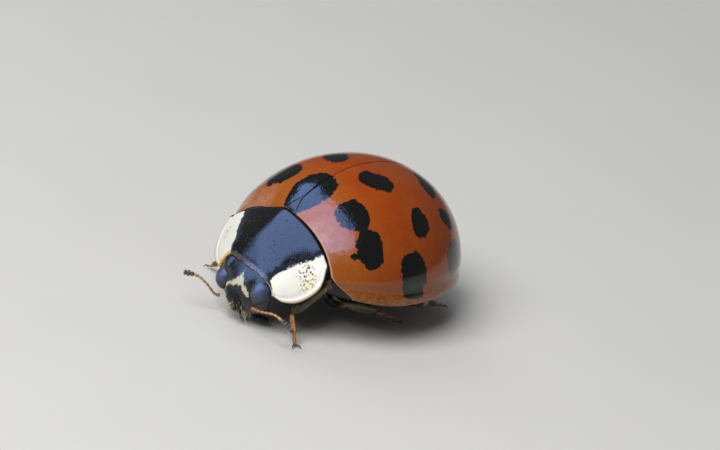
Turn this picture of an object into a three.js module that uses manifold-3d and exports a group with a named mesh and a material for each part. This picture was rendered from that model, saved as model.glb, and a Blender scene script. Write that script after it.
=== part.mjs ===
// A ladybird (harlequin ladybird, Harmonia axyridis) standing still on its six feet.
// Millimetres. +X is the insect's left, +Y its tail end, +Z up. The floor is z = 0.
// The body is drawn round the plane of the wing-case rims, in the group "body", which the
// legs carry STANCE above the floor. All points below are in that body frame.
import * as THREE from "three";
import { mergeVertices } from "three/addons/utils/BufferGeometryUtils.js";
import Module from "manifold-3d";

const wasm = await Module();
wasm.setup();

// ---- driving dimensions ----
const STANCE = 1.25; // height of the wing-case rims above the floor
const FORE_SHIFT = 0.72; // moves the middle of the whole outline, feelers included, over the origin
const GAP = 0.03; // clearance between neighbouring plates

const DOME = {
  halfWidth: 2.732, // half width of both wing cases at their widest
  crest: 2.702, // height of the wing cases over their rim
  front: -2.517, // base of the wing cases, at the pronotum
  rear: 3.056, // tip of the wing cases
  widestAt: -0.348,
  highestAt: -0.134,
  baseWidth: 0.732, // half width at the base, as a share of the widest
  baseCrest: 0.516, // crest at the base, as a share of the highest
  frontRise: 0.326, // the rim climbs towards the shoulders
  rearDrop: 0.074, // and dips at the tip
  section: 2.1, // exponent of the cross-section, 2 is an ellipse
  shoulder: 0.5, // the base edge runs back this far at the foot of the shoulders
  shoulderArch: 0.29, // where that rounding starts, as a share of the arch's height
};
const SHELL = 0.8; // inside of a wing case, as a share of its outside
const SHELL_REAR = 0.5; // thickness of the wing cases at the tip
const SUTURE_GAP = 0.03;
const TRUNK = 0.775; // thorax and abdomen fill this share of the dome
const TRUNK_REAR = 0.56;
const TRUNK_TIP = 0.04; // the abdomen ends in a small blunt face
const WAIST = -0.33; // where thorax and abdomen meet
const LIMB = 0.25; // leg radius: legs and feelers are about half a millimetre thick

// ---- shapes shared by several pieces ----
const v3 = (x, y, z) => new THREE.Vector3(x, y, z);
const mirrored = ([x, y, z]) => [-x, y, z];

function halfWidthAt(y) {
  const d = DOME;
  if (y < d.widestAt) {
    const t = (d.widestAt - y) / (d.widestAt - d.front);
    return d.halfWidth * (1 - (1 - d.baseWidth) * t ** 2.2);
  }
  const t = Math.min(1, (y - d.widestAt) / (d.rear - d.widestAt));
  return d.halfWidth * (1 - t ** 2.15) ** (1 / 1.95);
}

function crestAt(y) {
  const d = DOME;
  if (y < d.highestAt) {
    const t = (d.highestAt - y) / (d.highestAt - d.front);
    return d.crest * (1 - (1 - d.baseCrest) * t ** 2);
  }
  const t = Math.min(1, (y - d.highestAt) / (d.rear - d.highestAt));
  return d.crest * (1 - t ** 2.2) ** 0.5;
}

function rimAt(y) {
  if (y < 0) return DOME.frontRise * (y / DOME.front) ** 2;
  return -DOME.rearDrop * (y / DOME.rear) ** 2;
}

// Height of the arch over the rim, from 1 at the suture to 0 at the rim.
const archAt = (across) => Math.sqrt(Math.max(0, 1 - Math.abs(across) ** DOME.section));

// A point of the dome: across runs from 0 at the suture to 1 at the rim, y along the body.
function domePoint(across, y) {
  return v3(across * halfWidthAt(y), y, rimAt(y) + crestAt(y) * archAt(across));
}

// Shrinks a point of the dome towards the body's inside, keeping the base edge in its plane.
function shrunk(p, share, rearWall) {
  const length = DOME.rear - DOME.front;
  const y = DOME.front + ((p.y - DOME.front) * (length - rearWall)) / length;
  return v3(p.x * share, y, p.z * share);
}

// A closed solid between two sheets of points, outer(u, v) and inner(u, v), with u, v in 0..1.
function slab(outer, inner, across, along) {
  const points = [];
  for (const sheet of [outer, inner])
    for (let j = 0; j <= along; j++)
      for (let i = 0; i <= across; i++) points.push(...sheet(i / across, j / along).toArray());
  const row = across + 1;
  const back = row * (along + 1);
  const index = [];
  const quad = (a, b, c, d) => index.push(a, b, c, a, c, d);
  for (let j = 0; j < along; j++)
    for (let i = 0; i < across; i++) {
      const a = j * row + i;
      quad(a, a + 1, a + 1 + row, a + row);
      quad(back + a, back + a + row, back + a + row + 1, back + a + 1);
    }
  for (let i = 0; i < across; i++) {
    const last = along * row + i;
    quad(i, back + i, back + i + 1, i + 1);
    quad(last, last + 1, back + last + 1, back + last);
  }
  for (let j = 0; j < along; j++) {
    const right = j * row + across;
    quad(j * row, j * row + row, back + j * row + row, back + j * row);
    quad(right, back + right, back + right + row, right + row);
  }
  const geometry = new THREE.BufferGeometry();
  geometry.setAttribute("position", new THREE.Float32BufferAttribute(points, 3));
  geometry.setIndex(index);
  return facingOut(geometry);
}

function facingOut(geometry) {
  const p = geometry.attributes.position;
  const index = geometry.index.array;
  const [a, b, c] = [v3(), v3(), v3()];
  let volume = 0;
  for (let i = 0; i < index.length; i += 3) {
    a.fromBufferAttribute(p, index[i]);
    b.fromBufferAttribute(p, index[i + 1]);
    c.fromBufferAttribute(p, index[i + 2]);
    volume += a.dot(b.cross(c));
  }
  if (volume < 0)
    for (let i = 0; i < index.length; i += 3)
      [index[i + 1], index[i + 2]] = [index[i + 2], index[i + 1]];
  return geometry;
}

// A ball drawn out to the half sizes given, with an optional last reshaping of each point.
function blob(centre, half, { sides = 16, rings = 12, reshape = null, turn = null } = {}) {
  const geometry = new THREE.SphereGeometry(1, sides, rings);
  const p = geometry.attributes.position;
  for (let i = 0; i < p.count; i++) {
    const q = v3().fromBufferAttribute(p, i);
    if (reshape) reshape(q);
    p.setXYZ(i, q.x * half[0], q.y * half[1], q.z * half[2]);
  }
  if (turn) geometry.applyMatrix4(new THREE.Matrix4().makeRotationFromEuler(new THREE.Euler(...turn)));
  return geometry.translate(...centre);
}

// A tapered round limb from one point to another; swell fattens its middle.
function limb({ from, to, start = LIMB, end = LIMB, swell = 0, sides = 8, grow = 0, floor = null }) {
  const a = v3(...from);
  const axis = v3(...to).sub(a);
  const length = axis.length() + 2 * grow;
  const steps = 7;
  const profile = [];
  for (let i = 0; i <= steps; i++) {
    const t = (1 - Math.cos((Math.PI * i) / steps)) / 2;
    const round = Math.min(1, 2.2 * Math.sqrt(t * (1 - t)));
    const radius = (start + (end - start) * t + swell * Math.sin(Math.PI * t) + grow) * round;
    profile.push(new THREE.Vector2(i === 0 || i === steps ? 0 : radius, t * length - grow));
  }
  const geometry = new THREE.LatheGeometry(profile, sides);
  const turn = new THREE.Quaternion().setFromUnitVectors(v3(0, 1, 0), axis.normalize());
  geometry.applyQuaternion(turn).translate(...from);
  if (floor !== null) {
    const p = geometry.attributes.position;
    for (let i = 0; i < p.count; i++) p.setZ(i, Math.max(p.getZ(i), floor));
  }
  return geometry;
}

// ---- cutting, with manifold-3d ----
function solid(geometry) {
  const bare = new THREE.BufferGeometry();
  bare.setAttribute("position", geometry.attributes.position);
  bare.setIndex(geometry.index);
  const merged = mergeVertices(bare, 1e-4);
  const triangles = [];
  const all = merged.index.array;
  for (let i = 0; i < all.length; i += 3) {
    const [a, b, c] = all.slice(i, i + 3);
    if (a !== b && b !== c && c !== a) triangles.push(a, b, c);
  }
  return new wasm.Manifold(
    new wasm.Mesh({
      numProp: 3,
      vertProperties: new Float32Array(merged.attributes.position.array),
      triVerts: new Uint32Array(triangles),
    }),
  );
}

// The largest body left of a geometry once the cutters are taken from it.
function carved(geometry, cutters) {
  let left = solid(geometry);
  for (const cutter of cutters) left = left.subtract(solid(cutter));
  const largest = left.decompose().reduce((a, b) => (a.volume() > b.volume() ? a : b));
  const mesh = largest.getMesh();
  const result = new THREE.BufferGeometry();
  result.setAttribute("position", new THREE.Float32BufferAttribute(mesh.vertProperties, 3));
  result.setIndex(Array.from(mesh.triVerts));
  return result;
}

// A copy moved to each side by the clearance, so that a cut leaves a gap on every face.
function withClearance(geometry) {
  const moves = [v3(0, 0, -GAP), v3(0, -GAP, 0), v3(0, GAP, 0), v3(0, 0, GAP)];
  return moves.map((m) => geometry.clone().translate(m.x, m.y, m.z));
}

// ---- finishes ----
const finish = (color, roughness) => new THREE.MeshStandardMaterial({ color, roughness, metalness: 0 });
const ORANGE = finish(0xc84b0a, 0.25);
const BLACK = finish(0x14150f, 0.25);
const EYE = finish(0x1b1d24, 0.15);
const BROWN = finish(0x65461a, 0.4);
const AMBER = finish(0xb06a34, 0.4);
const UNDERSIDE = finish(0x2a1a10, 0.5);

const body = new THREE.Group();
const pieces = new Map();
function add(name, geometry, material) {
  const mesh = new THREE.Mesh(geometry, material);
  mesh.name = name;
  pieces.set(name, geometry);
  body.add(mesh);
}

// ---- wing cases and scutellum ----
// The scutellum is the small triangle between the bases of the wing cases.
const SCUTELLUM = { halfWidth: 0.19, length: 0.36, depth: 0.42 };

function scutellumWedge(grow) {
  const { halfWidth, length, depth } = SCUTELLUM;
  const y = DOME.front + GAP;
  const outer = (u, v) => {
    const x = (2 * u - 1) * (halfWidth + grow) * (1 - 0.94 * v);
    const yy = y - 2 * grow + v * (length + 3 * grow);
    return domePoint(x / halfWidthAt(yy), yy).add(v3(0, 0, grow > 0 ? 0.2 : 0));
  };
  const inner = (u, v) => outer(u, v).add(v3(0, 0, -depth - (grow > 0 ? 0.6 : 0)));
  return slab(outer, inner, 4, 4);
}

function elytron(side) {
  const base = (across) => {
    const low = Math.max(0, 1 - archAt(across) / DOME.shoulderArch);
    return DOME.front + DOME.shoulder * low ** 1.6;
  };
  const outer = (u, v) => {
    const across = Math.sin((Math.PI / 2) * u);
    const y = base(across) + (DOME.rear - base(across)) * Math.sin((Math.PI / 2) * v);
    return domePoint(across, y).add(v3(SUTURE_GAP / 2, 0, 0));
  };
  const inner = (u, v) => shrunk(outer(u, v), SHELL, SHELL_REAR);
  const flip = (f) => (u, v) => f(u, v).multiply(v3(side, 1, 1));
  return carved(slab(flip(outer), flip(inner), 10, 16), [scutellumWedge(GAP)]);
}

add("elytron_left", elytron(1), ORANGE);
add("elytron_right", elytron(-1), ORANGE);
add("scutellum", scutellumWedge(0), BLACK);

// ---- pronotum, the shield behind the head ----
// Its two halves differ a little, because it is turned on the neck.
const path = (...points) => new THREE.CatmullRomCurve3(points.map((p) => v3(...p)), false, "catmullrom");

// A path that starts at the middle line and runs level across it.
function halfPath(...points) {
  const whole = path(...points.slice(1).map(mirrored).reverse(), ...points);
  return { getPoint: (t) => whole.getPoint(0.5 + t / 2) };
}

const PRONOTUM = {
  middle: path([0, -2.545, 1.72], [0, -2.98, 1.36], [0, -3.36, 0.84], [0, -3.6, 0.26]),
  left: {
    hind: halfPath([0, -2.545, 1.72], [0.5, -2.555, 1.66], [0.98, -2.565, 1.52], [1.42, -2.57, 1.27], [1.75, -2.57, 0.92]),
    side: path([1.75, -2.57, 0.92], [1.8, -2.72, 0.36], [1.53, -3.02, -0.08], [1.27, -3.34, -0.17], [1.05, -3.57, -0.05]),
    fore: halfPath([0, -3.6, 0.26], [0.42, -3.605, 0.255], [0.76, -3.585, 0.19], [0.95, -3.57, 0.08], [1.05, -3.57, -0.05]),
  },
  right: {
    hind: halfPath([0, -2.545, 1.72], [0.52, -2.565, 1.6], [1.04, -2.585, 1.34], [1.54, -2.6, 1.03], [1.87, -2.61, 0.755]),
    side: path([1.87, -2.61, 0.755], [2.0, -2.76, 0.185], [1.75, -3.06, -0.15], [1.36, -3.36, -0.185], [0.966, -3.61, -0.13]),
    fore: halfPath([0, -3.6, 0.26], [0.42, -3.585, 0.3], [0.73, -3.55, 0.3], [0.88, -3.6, 0.06], [0.966, -3.61, -0.13]),
  },
  wall: 0.7, // its inside, as a share of its outside
  axisHind: [0, -2.6, 0.1], // it shrinks towards a line between these two points
  axisFore: [0, -3.3, -0.3],
  hindGap: 0.05, // between its inside and the base of the wing cases
};

// A patch stretched between the four edges of one half, level across the middle line.
function pronotumPoint(u, v, { hind, side, fore }) {
  const share = u * u;
  const q = v3();
  q.addScaledVector(hind.getPoint(u), 1 - v).addScaledVector(fore.getPoint(u), v);
  q.addScaledVector(PRONOTUM.middle.getPoint(v), 1 - share).addScaledVector(side.getPoint(v), share);
  q.addScaledVector(hind.getPoint(0), -(1 - share) * (1 - v)).addScaledVector(hind.getPoint(1), -share * (1 - v));
  q.addScaledVector(fore.getPoint(0), -(1 - share) * v).addScaledVector(fore.getPoint(1), -share * v);
  return q;
}

function pronotum() {
  const outer = (u, v) => {
    const across = 2 * u - 1;
    const p = pronotumPoint(Math.abs(across), v, across < 0 ? PRONOTUM.right : PRONOTUM.left);
    if (across < 0) p.x = -p.x;
    return p;
  };
  const inner = (u, v) => {
    const centre = v3(...PRONOTUM.axisHind).lerp(v3(...PRONOTUM.axisFore), v);
    const p = outer(u, v).sub(centre).multiplyScalar(PRONOTUM.wall).add(centre);
    p.y = Math.min(p.y, DOME.front - PRONOTUM.hindGap);
    return p;
  };
  return slab(outer, inner, 16, 8);
}
add("pronotum", pronotum(), BLACK);
const pronotumCut = withClearance(pieces.get("pronotum"));

// ---- legs ----
// Each leg is coxa, femur, tibia and tarsus. A joint is where two of them meet. The left front
// leg is drawn up close under the shield and the shoulder, so the legs are cut to clear both.
const SOLE = -STANCE;
const LEGS = {
  front_left: {
    coxa: [0.5, -2.45, -0.47],
    knee: [1.81, -2.3, 0.53],
    ankle: [1.25, -2.95, -0.54],
    toe: [1.72, -3.1, -1.25],
  },
  middle_left: {
    coxa: [0.8, -1.1, -0.6],
    knee: [1.7, -1.55, -0.25],
    ankle: [1.55, -0.25, -0.75],
    toe: [1.55, 0.6, -1.16],
  },
  hind_left: {
    coxa: [0.55, 0.2, -0.6],
    knee: [1.85, 0.95, -0.6],
    ankle: [1.25, 1.75, -0.9],
    toe: [1.2, 2.5, -1.16],
  },
  front_right: {
    coxa: [-0.5, -2.45, -0.47],
    knee: [-2.02, -2.5, 0.25],
    ankle: [-2.2, -2.3, -0.75],
    toe: [-2.72, -2.15, -1.16],
  },
  middle_right: {
    coxa: [-0.8, -1.1, -0.6],
    knee: [-2.0, -1.35, -0.3],
    ankle: [-2.25, -0.45, -0.8],
    toe: [-2.55, 0.2, -1.16],
  },
  hind_right: {
    coxa: [-0.55, 0.2, -0.6],
    knee: [-1.85, 1.0, -0.5],
    ankle: [-1.75, 1.85, -0.85],
    toe: [-2.0, 2.5, -1.16],
  },
};

// The point a given distance along the way from one joint to the next.
const along = (from, to, distance) => {
  const a = v3(...from);
  return a.add(v3(...to).sub(a).setLength(distance)).toArray();
};

const shellCuts = [...pronotumCut, ...withClearance(pieces.get("elytron_left"))];
const legCutters = [];
for (const [name, leg] of Object.entries(LEGS)) {
  const joint = 0.12; // a limb starts this far past the joint
  const coxa = (grow) => blob(leg.coxa, [0.3 + grow, 0.24 + grow, 0.2 + grow], { sides: 8, rings: 6 });
  const femur = (grow) =>
    limb({
      from: along(leg.coxa, leg.knee, joint),
      to: along(leg.knee, leg.coxa, -0.12),
      start: 0.22,
      end: 0.22,
      swell: 0.06,
      grow,
    });
  const tibia = (grow) =>
    limb({
      from: along(leg.knee, leg.ankle, joint),
      to: along(leg.ankle, leg.knee, -0.05),
      start: 0.22,
      end: 0.23,
      grow,
    });
  const tarsus = limb({
    from: along(leg.ankle, leg.toe, joint),
    to: along(leg.toe, leg.ankle, -0.15),
    start: 0.22,
    end: 0.24,
    floor: SOLE,
  });
  add("coxa_" + name, coxa(0), BLACK);
  add("femur_" + name, carved(femur(0), [coxa(GAP), tibia(GAP), ...shellCuts]), BROWN);
  add("tibia_" + name, carved(tibia(0), shellCuts), BROWN);
  add("tarsus_" + name, carved(tarsus, [tibia(GAP)]), AMBER);
  legCutters.push(coxa(GAP), femur(GAP), tibia(GAP));
}

// ---- head ----
const EYES = { left: [0.63, -3.54, -0.165], right: [-0.635, -3.585, -0.315], half: [0.3, 0.27, 0.32] };
const eye = (side, grow) => blob(EYES[side], EYES.half.map((h) => h + grow), { sides: 12, rings: 8 });
for (const side of ["left", "right"]) add("eye_" + side, carved(eye(side, 0), pronotumCut), EYE);

const PROTHORAX = { centre: [0, -2.84, 0.05], half: [1.0, 0.26, 0.6] };
const HEAD = {
  centre: [0, -3.47, -0.34],
  half: [0.86, 0.38, 0.68],
  nape: 0.75, // the back of the head is shallower than the face
  brow: 0.6, // it is broader over the eyes
  mouth: 0.2, // and narrower at the mouth
  slope: 0.42, // the face slopes back to the mouth
};
const headBlob = blob(HEAD.centre, HEAD.half, {
  sides: 18,
  rings: 12,
  reshape: (q) => {
    if (q.y > 0) q.y *= HEAD.nape;
    q.x *= 1 + (q.z < 0 ? -HEAD.mouth : HEAD.brow) * q.z * q.z;
    q.y += HEAD.slope * Math.max(0, -q.z) ** 1.5;
  },
});
const CLYPEUS = { centre: [-0.03, -3.71, -0.56], half: [0.38, 0.18, 0.31] };
const LABRUM = { centre: [-0.03, -3.55, -0.87], half: [0.28, 0.17, 0.15] };
const mouthCuts = [CLYPEUS, LABRUM].map((m) => blob(m.centre, m.half.map((h) => h + GAP), { sides: 10, rings: 7 }));
add("head", carved(headBlob, [eye("left", GAP), eye("right", GAP), ...pronotumCut, ...mouthCuts]), BLACK);
add("clypeus", carved(blob(CLYPEUS.centre, CLYPEUS.half, { sides: 10, rings: 7 }), [mouthCuts[1]]), BLACK);
add("labrum", blob(LABRUM.centre, LABRUM.half, { sides: 10, rings: 7 }), BLACK);

// ---- feelers and palps ----
const FEELERS = {
  left: { base: [0.7, -3.97, -0.63], bend: [1.31, -3.9, -0.52], tip: [1.95, -3.64, -0.54] },
  right: { base: [-0.6, -3.95, -0.74], bend: [-0.95, -4.2, -0.5], tip: [-1.28, -4.45, -0.32] },
};
for (const [side, feeler] of Object.entries(FEELERS)) {
  const stalk = { from: feeler.base, to: feeler.bend, start: 0.22, end: 0.22, sides: 8 };
  const club = { from: along(feeler.bend, feeler.tip, GAP), to: feeler.tip, start: 0.23, end: 0.24, sides: 8 };
  add("antenna_" + side, limb(stalk), AMBER);
  add("antenna_club_" + side, limb(club), BLACK);
  const turn = side === "left" ? 1 : -1;
  add(
    "palp_" + side,
    limb({ from: [0.42 * turn, -3.5, -0.98], to: [0.5 * turn, -3.1, -1.1], start: 0.12, end: 0.16, sides: 8, floor: SOLE + 0.02 }),
    BLACK,
  );
}

// ---- prothorax, thorax and abdomen ----
const prothoraxBlob = blob(PROTHORAX.centre, PROTHORAX.half, { sides: 18, rings: 12 });
const headCut = withClearance(pieces.get("head"));
add("prothorax", carved(prothoraxBlob, [...pronotumCut, ...headCut, ...legCutters]), BLACK);

function trunk(from, to, rows, depth) {
  const rail = (v) => from + (to - from) * Math.sin((Math.PI / 2) * v) ** 0.8;
  const taper = (y) => 1 - 0.5 * Math.max(0, (-1.2 - y) / 1.3) ** 1.5;
  const top = (u, v) => {
    const across = Math.sin((Math.PI / 2) * (2 * u - 1));
    const p = shrunk(domePoint(across, rail(v)), TRUNK, TRUNK_REAR);
    p.x *= taper(p.y);
    return p;
  };
  const bottom = (u, v) => {
    const p = top(u, v);
    const across = Math.sin((Math.PI / 2) * (2 * u - 1));
    p.z = TRUNK * rimAt(p.y) - 0.12 - depth(p.y) * Math.sqrt(1 - across * across);
    return p;
  };
  return slab(top, bottom, 12, rows);
}
const belly = (y) => 0.34 * Math.sqrt(Math.max(0, 1 - ((y + 0.3) / 3) ** 2));
add("thorax", carved(trunk(DOME.front + GAP, WAIST - GAP, 6, belly), legCutters), UNDERSIDE);
add("abdomen", carved(trunk(WAIST, DOME.rear - TRUNK_TIP, 8, belly), legCutters), UNDERSIDE);

body.position.set(0, FORE_SHIFT, STANCE);
const ladybird = new THREE.Group();
ladybird.add(body);
export default ladybird;
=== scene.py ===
import random
from math import acos, atan2, cos, exp, hypot, pi, radians, sin, sqrt

import bmesh
import bpy
from mathutils import Matrix, Vector


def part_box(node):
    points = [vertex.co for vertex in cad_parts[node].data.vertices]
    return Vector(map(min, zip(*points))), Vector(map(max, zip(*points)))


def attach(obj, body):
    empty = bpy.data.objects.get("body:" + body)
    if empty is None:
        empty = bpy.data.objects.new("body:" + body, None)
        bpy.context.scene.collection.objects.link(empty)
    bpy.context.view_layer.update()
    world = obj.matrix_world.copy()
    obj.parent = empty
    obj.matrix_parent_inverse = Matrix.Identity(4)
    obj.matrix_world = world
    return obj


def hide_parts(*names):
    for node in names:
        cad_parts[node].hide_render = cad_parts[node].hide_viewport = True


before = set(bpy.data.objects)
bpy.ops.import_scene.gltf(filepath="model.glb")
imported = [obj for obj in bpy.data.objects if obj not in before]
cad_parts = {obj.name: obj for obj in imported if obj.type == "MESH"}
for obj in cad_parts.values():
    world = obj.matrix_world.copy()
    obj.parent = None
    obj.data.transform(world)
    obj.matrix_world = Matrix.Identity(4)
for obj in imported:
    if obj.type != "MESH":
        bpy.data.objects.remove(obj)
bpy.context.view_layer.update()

# ---- wing cases ----
# The two hard fore wings that cover the back: thin domed shells of orange chitin with
# black spots, hinged at their bases. They meet in a straight seam and turn in at the rim.

MM = 0.001
HALF_WIDTH = 2.732  # of both wing cases at their widest, in millimetres as all sizes here
CREST = 2.702  # height over the rim
BASE = -2.517  # the front end; y runs towards the tail
TIP = 3.056  # the hind end
WIDEST = -0.348
HIGHEST = -0.134
BASE_WIDTH = 0.732  # half width at the base, as a share of the widest
BASE_CREST = 0.516  # crest at the base, as a share of the highest
FRONT_RISE = 0.326  # the rim climbs towards the shoulders
TIP_DROP = 0.074  # and dips at the tail
SHOULDER = 0.5  # how far the base edge runs back at the foot of a shoulder
SHOULDER_ARCH = 0.29  # where that rounding starts, as a share of the arch
GIRTH = 2.7  # millimetres of shell for each radian from the seam
RIM_GIRTH = GIRTH * pi / 2
RIM_SHARE = 0.86  # the part of a grid row that lies on the dome; the rest is the turned-in rim
TURNED_IN = 0.45
SEAM_GAP = 0.004
SHELL_THICKNESS = 0.07
GUTTER_INSIDE = 0.34  # a shallow gutter runs this far inside the rim
GUTTER_WIDTH = 0.16
GUTTER_DEPTH = 0.05
BASE_ROLL = 0.05  # the base edge is rolled down by this much
BASE_DROOP = 0.15  # the base of the right wing case sits lower, down on the turned shield

wing_low, wing_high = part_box("elytron_left")
body_centre = Vector((0, wing_high.y - TIP * MM, wing_low.z + TIP_DROP * MM))


def place(point):
    """A point in millimetres from the body's centre, as metres in the frame."""
    return body_centre + Vector(point) * MM


def half_width_at(y):
    if y < WIDEST:
        share = (WIDEST - y) / (WIDEST - BASE)
        return HALF_WIDTH * (1 - (1 - BASE_WIDTH) * share**2.2)
    share = min(1, (y - WIDEST) / (TIP - WIDEST))
    return HALF_WIDTH * (1 - share**2.15) ** (1 / 1.95)


def crest_at(y):
    if y < HIGHEST:
        share = (HIGHEST - y) / (HIGHEST - BASE)
        return CREST * (1 - (1 - BASE_CREST) * share**2)
    share = min(1, (y - HIGHEST) / (TIP - HIGHEST))
    return CREST * (1 - share**2.2) ** 0.5


def rim_at(y):
    if y < 0:
        return FRONT_RISE * (y / BASE) ** 2
    return -TIP_DROP * (y / TIP) ** 2


def arch_at(across):
    return sqrt(max(0, 1 - abs(across) ** 2.1))


def dome_point(across, y):
    """A point of the dome: across runs from 0 at the seam to 1 at the rim."""
    return Vector((across * half_width_at(y), y, rim_at(y) + crest_at(y) * arch_at(across)))


def base_edge_at(across):
    low = max(0, 1 - arch_at(across) / SHOULDER_ARCH)
    return BASE + SHOULDER * low**1.6


def smooth(value, low, high):
    """0 below low, 1 above high, with an easy slope between."""
    share = min(1, max(0, (value - low) / (high - low)))
    return share * share * (3 - 2 * share)


def ridge(value, centre, width):
    """A soft hump, 1 high at its centre."""
    return exp(-(((value - centre) / width) ** 2))


def rim_inward(y):
    """The level direction from the rim towards the body's middle line."""
    step = 0.002
    ahead = min(TIP, y + step)
    slope = (half_width_at(ahead) - half_width_at(y - step)) / (ahead - y + step)
    return Vector((-1, slope, 0)).normalized()


def wing_case_point(share, along, turn):
    """The shell's place, and its girth from the seam, for a point of the grid."""
    angle = pi / 2 * min(1, share / RIM_SHARE) ** 1.15
    across = sin(angle)
    edge = base_edge_at(across)
    y = edge + (TIP - edge) * sin(pi / 2 * along**1.35)
    point = dome_point(across, y)
    out = Vector((across * crest_at(y), 0, arch_at(across) * half_width_at(y) + 1e-6)).normalized()
    girth = angle * GIRTH
    size = smooth(half_width_at(y), 0.2, 1.5)
    gutter = GUTTER_DEPTH * ridge(girth, RIM_GIRTH - GUTTER_INSIDE, GUTTER_WIDTH) * size
    base_roll = BASE_ROLL * max(0, 1 - (y - edge) / 0.06) ** 2
    seam_roll = 0.005 * ridge(point.x, 0, 0.03) * smooth(y, BASE, BASE + 0.3)
    point -= out * (gutter + base_roll + seam_roll)
    if turn < 0:
        point.z -= BASE_DROOP * smooth(across, 0.08, 0.4) * (1 - smooth(y - edge, 0, 0.65))
    point.x += SEAM_GAP
    if share > RIM_SHARE:
        turned = (share - RIM_SHARE) / (1 - RIM_SHARE)
        point += rim_inward(y) * TURNED_IN * turned**1.4
        point.z += 0.1 * turned - 0.06 * sin(pi / 2 * min(1, turned / 0.2))
        girth += TURNED_IN * turned
    return point, girth, y - edge


def oval(girth, y, centre, radii, turn, squareness=2.0):
    """Distance in millimetres from a point of the shell to an oval's outline, less than 0 inside."""
    turn = radians(turn)
    along, up = girth - centre[0], y - centre[1]
    first = abs(along * cos(turn) + up * sin(turn)) / radii[0]
    second = abs(up * cos(turn) - along * sin(turn)) / radii[1]
    reach = (first**squareness + second**squareness) ** (1 / squareness)
    slope = hypot(first / radii[0], second / radii[1]) / max(hypot(first, second), 1e-6)
    return (reach - 1) / max(slope, 1e-6)


# Each spot is given by its centre, as girth from the seam and place along the body, its two
# radii, its turn in degrees, and how square it is. The wing cases differ in one spot only.
SPOTS = [
    ((0.0, -1.91), (0.62, 0.66), 0, 2.1),  # shared by both, round the scutellum
    ((0.77, -0.45), (0.48, 0.33), 37, 2.2),
    ((1.51, -1.59), (0.52, 0.37), 0, 2.3),
    ((2.64, -1.52), (0.6, 0.33), -4, 2.4),
    ((2.76, -1.94), (0.14, 0.12), 0, 2.0),
    ((2.21, 0.17), (0.40, 0.30), -12, 2.2),
    ((3.52, -0.31), (0.6, 0.43), 8, 3.0),
    ((0.84, 1.36), (0.74, 0.31), -22, 2.0),
    ((2.16, 1.38), (0.36, 0.25), 42, 2.0),
    ((3.33, 1.49), (0.54, 0.42), 13, 2.3),
    ((1.05, 2.42), (0.5, 0.2), -8, 2.0),
]
RIGHT_SPOT = ((1.52, -1.6), (0.58, 0.42), 0, 2.3)  # stands there for the third of the list
SPOT_MELT = 0.07  # spots this near run together
SIDES = ((1, "left"), (-1, "right"))


def spot_distance(girth, y, turn):
    spots = SPOTS if turn > 0 else [*SPOTS[:2], RIGHT_SPOT, *SPOTS[3:]]
    first, second = sorted(oval(girth, y, *spot) for spot in spots)[:2]
    melt = max(0, SPOT_MELT - abs(second - first)) / SPOT_MELT
    return first - melt * melt * SPOT_MELT / 4


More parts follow.
